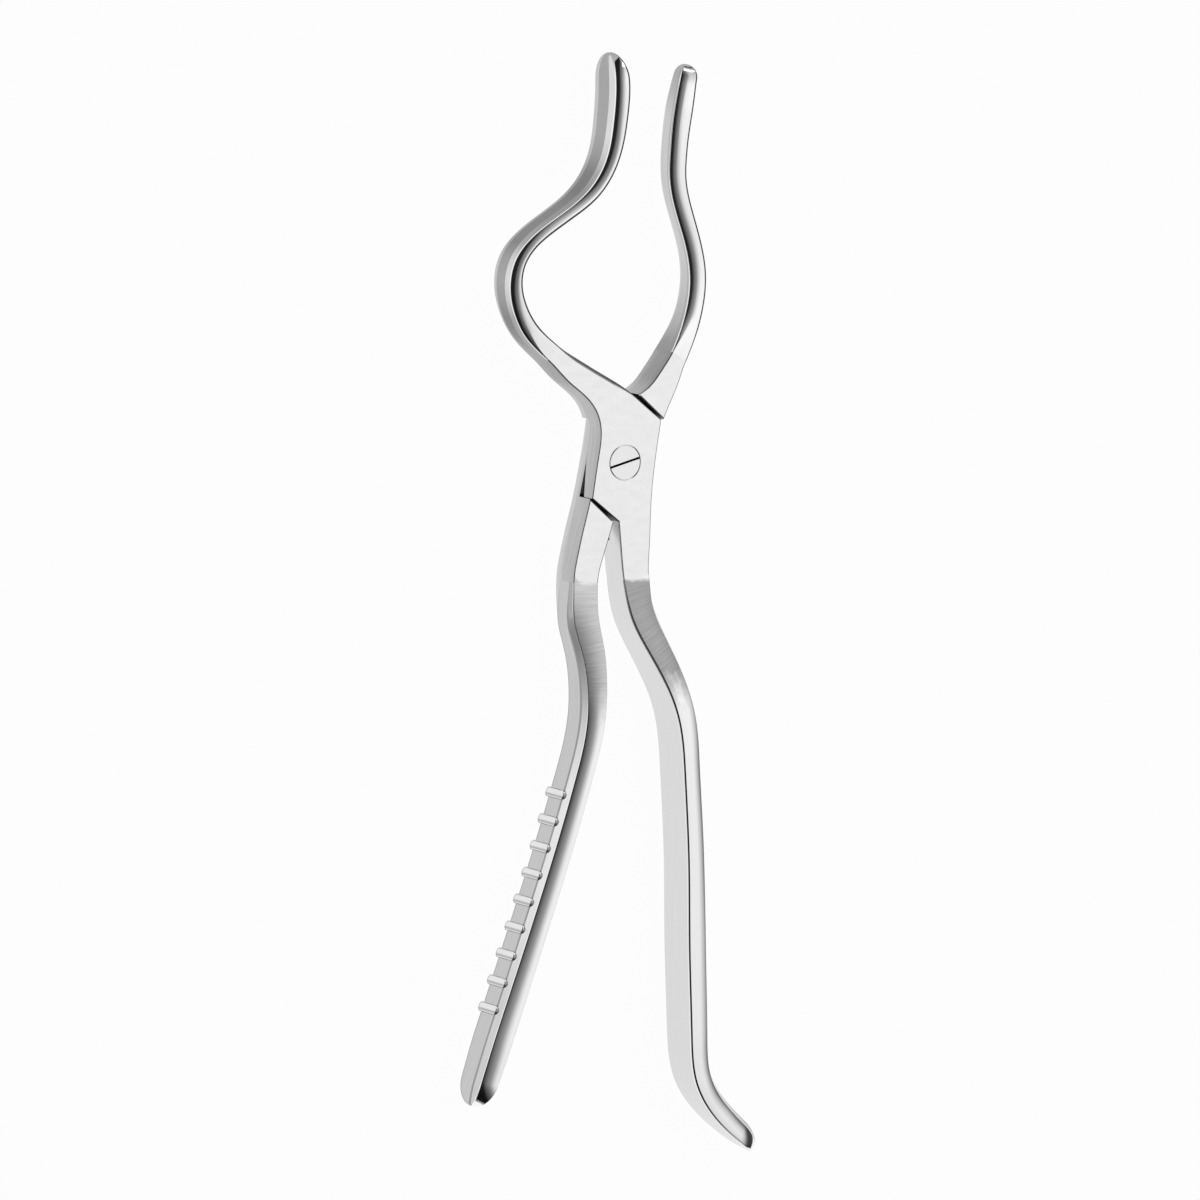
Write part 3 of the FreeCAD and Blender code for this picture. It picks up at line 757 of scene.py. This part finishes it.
def steel(name, level, roughness, streak, lines, brushed=None, tones=None, rising=None, forward=None,
          end=None, below=None, above=None, sunk_shade=None):
    """Ground and polished steel with fine lines along one direction.

    brushed is (start and end in mm, roughness, level, lines) of the stretch next to the joint, with lines
    across. tones is a table of (mm along the arm, share of the level), rising one of (mm of height, share),
    forward one of (mm along Y, share). Their shares paint shade into the colour.
    end is (middle and half width in mm, rise) of the soft end of a joint face towards the handle, and
    below and above are the (level, roughness) that show past that border.
    The last argument is (low, high) in mm: heights below which the colour is painted near black as
    shade in sunk places, fading out between them."""
    m = bpy.data.materials.new(name)
    m.use_nodes = True
    t = m.node_tree
    bsdf = t.nodes["Principled BSDF"]
    bsdf.inputs["Metallic"].default_value = 1.0
    place = t.nodes.new("ShaderNodeTexCoord")
    uv = place.outputs["UV"]
    split = t.nodes.new("ShaderNodeSeparateXYZ")
    link(t, uv, split.inputs[0])
    along = calculated(t, "MULTIPLY", split.outputs[0], UV_LENGTH)
    spot = t.nodes.new("ShaderNodeVectorMath")
    spot.operation = "SCALE"
    spot.inputs["Scale"].default_value = 1 / MM
    link(t, place.outputs["Object"], spot.inputs[0])
    split = t.nodes.new("ShaderNodeSeparateXYZ")
    link(t, spot.outputs[0], split.inputs[0])
    x, y, z = split.outputs
    fine = scaled_noise(t, uv, streak, 5.0, 0.6)
    cloud = scaled_noise(t, uv, CLOUD, 3.0, 0.5)
    shade = spread(t, fine, level * (1 - lines), level * (1 + lines))
    rough = spread(t, cloud, roughness * 0.85, roughness * 1.15)
    height = fine
    if brushed:
        first, last, brushed_rough, brushed_level, brushed_lines = brushed
        share = ranged(t, calculated(t, "ADD", along, spread(t, cloud, -2.0, 2.0)), first, last, 0.0, 1.0)
        cross = scaled_noise(t, uv, (streak[1], 12.0), 5.0, 0.6)
        limits = brushed_level * (1 - brushed_lines), brushed_level * (1 + brushed_lines)
        shade = mixed(t, share, spread(t, cross, *limits), shade)
        rough = mixed(t, share, brushed_rough, rough)
        height = mixed(t, share, cross, fine)
    # Painted shade: the colour is multiplied by the level tables along the arm, up the height and along Y
    for way, table in ((along, tones), (z, rising), (y, forward)):
        if table:
            shade = calculated(t, "MULTIPLY", shade, toned(t, way, table))
    # Past the soft end of a joint face the colour takes the other level: the darker neck there is partly a
    # brushed finish and partly painted shade
    if end:
        middle, half, rise = end
        corner = calculated(t, "POWER", ranged(t, x, middle, middle - half, 0.0, 1.0), 3.0)
        border = calculated(t, "MULTIPLY", corner, rise)
        border = calculated(t, "ADD", border, spread(t, cloud, FACE_END - 0.25, FACE_END + 0.25))
        share = ranged(t, calculated(t, "SUBTRACT", y, border), -BORDER_HALF, BORDER_HALF, 0.0, 1.0)
        low, high = below or (shade, rough), above or (shade, rough)
        shade, rough = mixed(t, share, low[0], high[0]), mixed(t, share, low[1], high[1])
    # Painted shade: below the given heights the colour goes near black
    if sunk_shade:
        shade = mixed(t, ranged(t, z, *sunk_shade, 0.0, 1.0), SUNK_SHADE_LEVEL, shade)
    link(t, shade, bsdf.inputs["Base Color"])
    link(t, rough, bsdf.inputs["Roughness"])
    bump = node_value(t, "ShaderNodeBump", Strength=0.05, Distance=0.00001)
    link(t, height, bump.inputs["Height"])
    link(t, bump.outputs["Normal"], bsdf.inputs["Normal"])
    return m


# Scale of the fine lines and of the clouds along the two texture directions
LENGTHWISE, ACROSS_FACE, CLOUD = (6.0, 450.0), (8.0, 420.0), (25.0, 60.0)

# Level and roughness of the satin joint faces, the Y of their ends towards the handles, and the near-black
# level painted as shade in sunk places such as the screw's slot
FACE_LOOK = (0.97, 0.26)
FACE_END, BORDER_HALF = -24.6, 0.45
NECK_ROUGHNESS = 0.38
SUNK_SHADE_LEVEL = 0.015

# Painted shade: shares of a material's level by place in mm, along an arm, over a grip bar, up a wall and
# along Y. They paint the blades' flanks darker near the joint, along their bends and, on the slim blade,
# near the tip; bands across each grip bar darker; the upper facet darker near both ends of the handle; and
# the walls darker towards their tops and towards the blades
BOWED_TONES = [
    (-6, 0.85), (1, 0.7), (5, 0.55), (11.5, 0.55), (16, 0.85), (20, 1.0), (24, 0.9), (28, 0.55), (36, 0.42),
    (45, 0.42), (50, 0.55), (54, 0.85), (58, 1.0), (76, 1.0),
]
SLIM_TONES = [(-8, 0.62), (2, 0.58), (6, 0.72), (11, 0.88), (20, 1.0), (50, 1.0), (58, 0.7), (62, 0.65)]
BAR_TONES = [(-1.1, 0.8), (-0.6, 1.0), (0.1, 1.0), (0.4, 0.55), (0.65, 0.6), (0.8, 1.0), (1.1, 0.5)]
UPPER_TONES = [(0, 0.5), (20, 0.55), (30, 0.75), (45, 1.0), (65, 1.0), (90, 0.8), (113, 0.75)]
WALL_TONES = [(0, 0.66), (1.6, 0.6), (2.4, 0.52), (5, 0.5), (7.2, 0.46)]
FORWARD_TONES = [(8, 1.0), (13, 0.9), (17, 0.6), (23, 0.58)]
BOWED_LENGTH, SLIM_LENGTH = 75.0, 61.4


def coats(name, face_end, neck_level, flank_levels, tones, blade_length):
    """The materials of one half, in the order of their numbers."""
    # The blade flanks are brushed next to the joint and painted darker there as shade
    root = (0.0, 6.0, 0.28, 0.3 / tones[1][1], 0.05)
    # The handle band's neck is brushed across; its darker level is partly that finish and partly painted
    # shade
    neck = (22.0, 30.0, NECK_ROUGHNESS, neck_level, 0.16)
    neck_look = (neck_level, NECK_ROUGHNESS)
    blade_root = (0.0, 8.0, 0.26, 0.97, 0.02)
    # The blade bands are painted darker over the last 4 mm of the tip as shade
    blade_tip = [(0, 1.0), (blade_length - 4, 1.0), (blade_length - 1, 0.45), (blade_length, 0.4)]

    def coat(part, level, roughness, lines, **more):
        return steel(name + part, level, roughness, LENGTHWISE, lines, **more)

    # The blade flanks' upper, middle and lower facets are one steel painted at three levels as shade, and
    # darkened along the arm by the level table
    flanks = [coat("_blade_flank", level, 0.22, 0.1, brushed=root, tones=tones) for level in flank_levels]
    return [
        coat("_handle_band", 0.95, 0.10, 0.04, brushed=neck, end=face_end, above=FACE_LOOK),
        steel(name + "_face", *FACE_LOOK, ACROSS_FACE, 0.015, end=face_end, below=neck_look),
        # Walls painted darker towards their tops and towards the blades, as shade
        coat("_wall", 1.0, 0.28, 0.14, rising=WALL_TONES, forward=FORWARD_TONES),
        # Near-black paint for the shade in gaps, shoulders, the relief and the screw's seat
        coat("_crevice_shade", 0.08, 0.5, 0.1),
        coat("_inner_flank", 0.72, 0.2, 0.04),
        # The middle, upper and lower facets are one steel painted at different levels as shade, the facet
        # line darker still
        coat("_middle_facet", 0.56, 0.2, 0.07),
        coat("_facet_line_shade", 0.34, 0.3, 0.15),
        coat("_blade_band", 0.95, 0.10, 0.04, brushed=blade_root, tones=blade_tip),
        # Grip bars painted in darker bands across them, as shade
        coat("_bar", 0.8, 0.18, 0.05, tones=BAR_TONES),
        # The upper facet is also painted darker near both ends of the handle by its level table
        coat("_upper_facet", 0.82, 0.2, 0.07, tones=UPPER_TONES),
        coat("_lower_facet", 0.6, 0.2, 0.07),
        *flanks,
        # Inner edge: painted near black as a dark reflection along the blades' far edge
        coat("_painted_dark_edge", 0.1, 0.3, 0.1),
    ]


# Front half: bowed blade, front plate and the handle with the outward end
blade = Arm(BOWED_BLADE, BLADE_ROOT, BOWED_REACH, BLADE_PROFILE, 1)
handle = Arm(FRONT_HANDLE, HANDLE_ROOT, FRONT_HANDLE_REACH, FRONT_HANDLE_PROFILE, -1, tip=6.0, tip_lean=0.2)
ends = arm_ends(blade, handle)
front = Shell()
front.add_arm(blade, BLADE_SIDES, BLADE_CORNERS)
front.add_arm(handle, HANDLE_SIDES, HANDLE_CORNERS)
lap_face = LAP_HEIGHT + LAP_CLEARANCE
outline = wind(front_outline(blade, handle))
plate(
    front, outline, lap_face, HALF_JOINT, 1, root_runs(outline, ends), SCREW_SEAT + SCREW_EDGE,
    FRONT_SHANK_HOLE, run_past(outline, plan_points(FRONT_OUTER_EDGE)[-1]),
    run_past(outline, plan_points(FRONT_BOW_EDGE)[1]), INNER_FLANK)
turn = 180 - SHOULDER_ANGLE + REST_OPENING
for angle, distance in ((turn, REAR_UPPER), (turn + 180, LOWER)):
    beyond = clip(outline, plane_vector(angle), distance)
    plate(front, beyond, -HALF_JOINT, lap_face, -1, root_runs(beyond, ends), neck_slot=INNER_FLANK)
seat_rim = HALF_JOINT - SCREW_EDGE
# The wall of the screw's seat is painted near black as shade
ring_wall(front, SCREW_SEAT, HALF_JOINT - SCREW_SEAT_DEPTH, SCREW_SEAT, seat_rim, CREVICE_SHADE)
ring_wall(front, SCREW_SEAT, seat_rim, SCREW_SEAT + SCREW_EDGE, HALF_JOINT, FACE)
# Its neck level is partly painted shade, and its blade flanks' three levels are painted shade
front_coats = coats("front", (2.2, 2.6, 0.8), 0.47, (0.72, 0.38, 0.54), BOWED_TONES, BOWED_LENGTH)
front_piece = front.build("front_half_forging", front_coats)

# Rear half: slim blade, rear plate and the handle with the grip bars
blade = Arm(SLIM_BLADE, BLADE_ROOT, SLIM_REACH, SLIM_PROFILE, 1)
handle = Arm(REAR_HANDLE, HANDLE_ROOT, REAR_HANDLE_REACH, REAR_HANDLE_PROFILE, 1)
ends = arm_ends(blade, handle)
rear = Shell()
rear.add_arm(blade, BLADE_SIDES, BLADE_CORNERS)
rear.add_arm(handle, HANDLE_SIDES, HANDLE_CORNERS)
for i in range(BAR_COUNT):
    grip_bar(rear, handle, blend(BAR_FIRST, BAR_LAST, i / (BAR_COUNT - 1)))
outline = wind(rear_outline(blade, handle))
plate(
    rear, outline, -HALF_JOINT, LAP_HEIGHT, -1, root_runs(outline, ends), REAR_SHANK_HOLE, REAR_SHANK_HOLE)
for angle, distance in ((SHOULDER_ANGLE, FRONT_UPPER), (SHOULDER_ANGLE + 180, LOWER)):
    beyond = clip(outline, plane_vector(angle), distance)
    plate(rear, beyond, LAP_HEIGHT, HALF_JOINT, 1, root_runs(beyond, ends))
# Its neck level is partly painted shade, and its blade flanks' three levels are painted shade
rear_coats = coats("rear", (-9.3, 2.9, 2.6), 0.76, (0.5, 0.6, 0.64), SLIM_TONES, SLIM_LENGTH)
rear_piece = rear.build("rear_half_forging", rear_coats)
# The screw is painted near black below its top face, in its slot, as shade
screw_steel = steel("screw_face", 0.95, 0.26, ACROSS_FACE, 0.02, sunk_shade=(6.6, 7.12))

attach(front_piece, "front_body")
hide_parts("front_half")
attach(rear_piece, "rear_body")
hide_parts("rear_half")
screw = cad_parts["pivot_screw"]
screw.data.materials.clear()
screw.data.materials.append(screw_steel)

# Floor: white to the camera and in the steel, and a plain pale surface to all other light
WHITE = 0.97
FLOOR_GAP = 0.0001
floor_z = min(v.co.z for piece in (front_piece, rear_piece) for v in piece.data.vertices)
bpy.ops.mesh.primitive_plane_add(size=6, location=(0, 0, floor_z - FLOOR_GAP))
floor = bpy.context.object
floor.name = "floor"
m = bpy.data.materials.new("floor_white")
m.use_nodes = True
t = m.node_tree
surface = t.nodes["Principled BSDF"]
surface.inputs["Base Color"].default_value = (0.9, 0.9, 0.9, 1)
surface.inputs["Roughness"].default_value = 0.6
glow = node_value(t, "ShaderNodeEmission", Strength=1.0)
mix = t.nodes.new("ShaderNodeMixShader")
paths = t.nodes.new("ShaderNodeLightPath")
seen = calculated(t, "MAXIMUM", paths.outputs["Is Camera Ray"], paths.outputs["Is Glossy Ray"])
link(t, calculated(t, "MULTIPLY", seen, WHITE), mix.inputs[0])
link(t, surface.outputs[0], mix.inputs[1])
link(t, glow.outputs[0], mix.inputs[2])
link(t, mix.outputs[0], t.nodes["Material Output"].inputs["Surface"])
floor.data.materials.append(m)

# Camera at the photograph's angle: turned about the instrument's length and raised a little
VIEW_ANGLE, VIEW_TILT = 30.3, 8.0
FRAME_PIXELS, PIXEL = 1200, 0.2058 * MM
PIVOT_ACROSS, PIVOT_DOWN = 616.4, 460.7
DISTANCE, SENSOR = 2.4, 36
turned, tilted = math.radians(VIEW_ANGLE), math.radians(VIEW_TILT)
right = Vector((math.cos(turned), 0, math.sin(turned)))
up = Vector((math.sin(turned) * math.sin(tilted), math.cos(tilted), -math.cos(turned) * math.sin(tilted)))
toward = right.cross(up)
shift = right * (FRAME_PIXELS / 2 - PIVOT_ACROSS) + up * (PIVOT_DOWN - FRAME_PIXELS / 2)
middle = Vector((0, 0, HALF_JOINT * MM)) + shift * PIXEL
camera_data = bpy.data.cameras.new("camera")
camera_data.sensor_width = SENSOR
camera_data.lens = SENSOR * DISTANCE / (FRAME_PIXELS * PIXEL)
camera_data.clip_end = 20
camera = bpy.data.objects.new("camera", camera_data)
camera.matrix_world = (
    Matrix.Translation(middle + toward * DISTANCE) @ Matrix((right, up, toward)).transposed().to_4x4())
bpy.context.scene.collection.objects.link(camera)
bpy.context.scene.camera = camera

# Softbox over the tips
lamp = bpy.data.lights.new("top_softbox", "AREA")
lamp.shape = "RECTANGLE"
lamp.size, lamp.size_y = 0.5, 0.4
lamp.energy = 1.2
softbox = bpy.data.objects.new("top_softbox", lamp)
lamp_direction = Vector((0.25, 0.80, 0.55)).normalized()
softbox.location = lamp_direction * 1.3
softbox.rotation_euler = lamp_direction.to_track_quat("Z", "Y").to_euler()
bpy.context.scene.collection.objects.link(softbox)

# Level of the studio round the instrument's length: degrees from above towards the right, and level
STUDIO = [
    (-180, 0.55), (-125, 0.95), (-80, 1.0), (-66, 0.9), (-55, 0.2), (-49, 0.015), (-15, 0.015), (-9, 0.13),
    (-3, 0.22), (3, 0.32), (9, 0.6), (16, 0.95), (22, 1.0), (50, 1.0), (60, 0.6), (66, 0.2), (72, 0.06),
    (140, 0.06), (160, 0.25), (180, 0.55),
]
world = bpy.data.worlds.new("studio")
world.use_nodes = True
t = world.node_tree
place = t.nodes.new("ShaderNodeTexCoord")
parts = t.nodes.new("ShaderNodeSeparateXYZ")
link(t, place.outputs["Generated"], parts.inputs[0])
about = calculated(t, "ARCTAN2", parts.outputs[0], parts.outputs[2])
degrees = ranged(t, about, -math.pi, math.pi, -180.0, 180.0)
dimmed = ranged(t, parts.outputs[1], -0.75, 0.0, 0.35, 1.0)
studio = calculated(t, "MULTIPLY", toned(t, degrees, STUDIO), dimmed)
seen = calculated(t, "MULTIPLY", t.nodes.new("ShaderNodeLightPath").outputs["Is Camera Ray"], WHITE)
link(t, calculated(t, "MAXIMUM", studio, seen), t.nodes["Background"].inputs["Color"])
bpy.context.scene.world = world
bpy.context.scene.view_settings.view_transform = "Standard"
